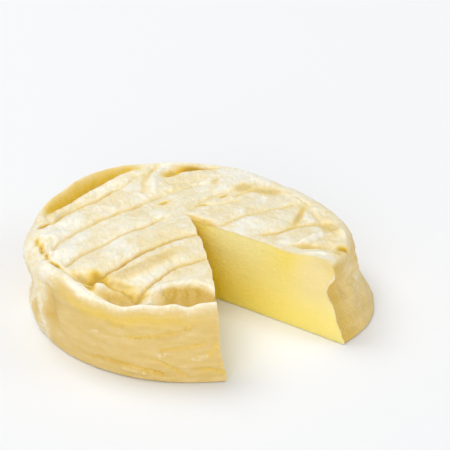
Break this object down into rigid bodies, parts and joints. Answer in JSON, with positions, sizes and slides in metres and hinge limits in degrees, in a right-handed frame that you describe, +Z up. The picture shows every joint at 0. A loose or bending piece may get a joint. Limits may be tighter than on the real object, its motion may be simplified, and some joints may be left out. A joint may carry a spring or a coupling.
{
  "type": "soumaintrain cheese",
  "caption": "Small soft washed-rind cheese wheel with rack marks on its top, a raised rind lip and a wedge-shaped notch where a slice was cut out.",
  "frame": {"origin": "middle of the bounding box, on the board that the cheese rests on", "axes": "+Z up out of the board, -Y towards the open side of the notch, +X to the right as seen from there"},
  "size_m": [0.1312, 0.1284, 0.034],
  "materials": {
    "washed_rind": "moist and satin"
  },
  "bodies": {
    "root": {"cheese_wheel": "washed_rind"}
  },
  "joints": []
}
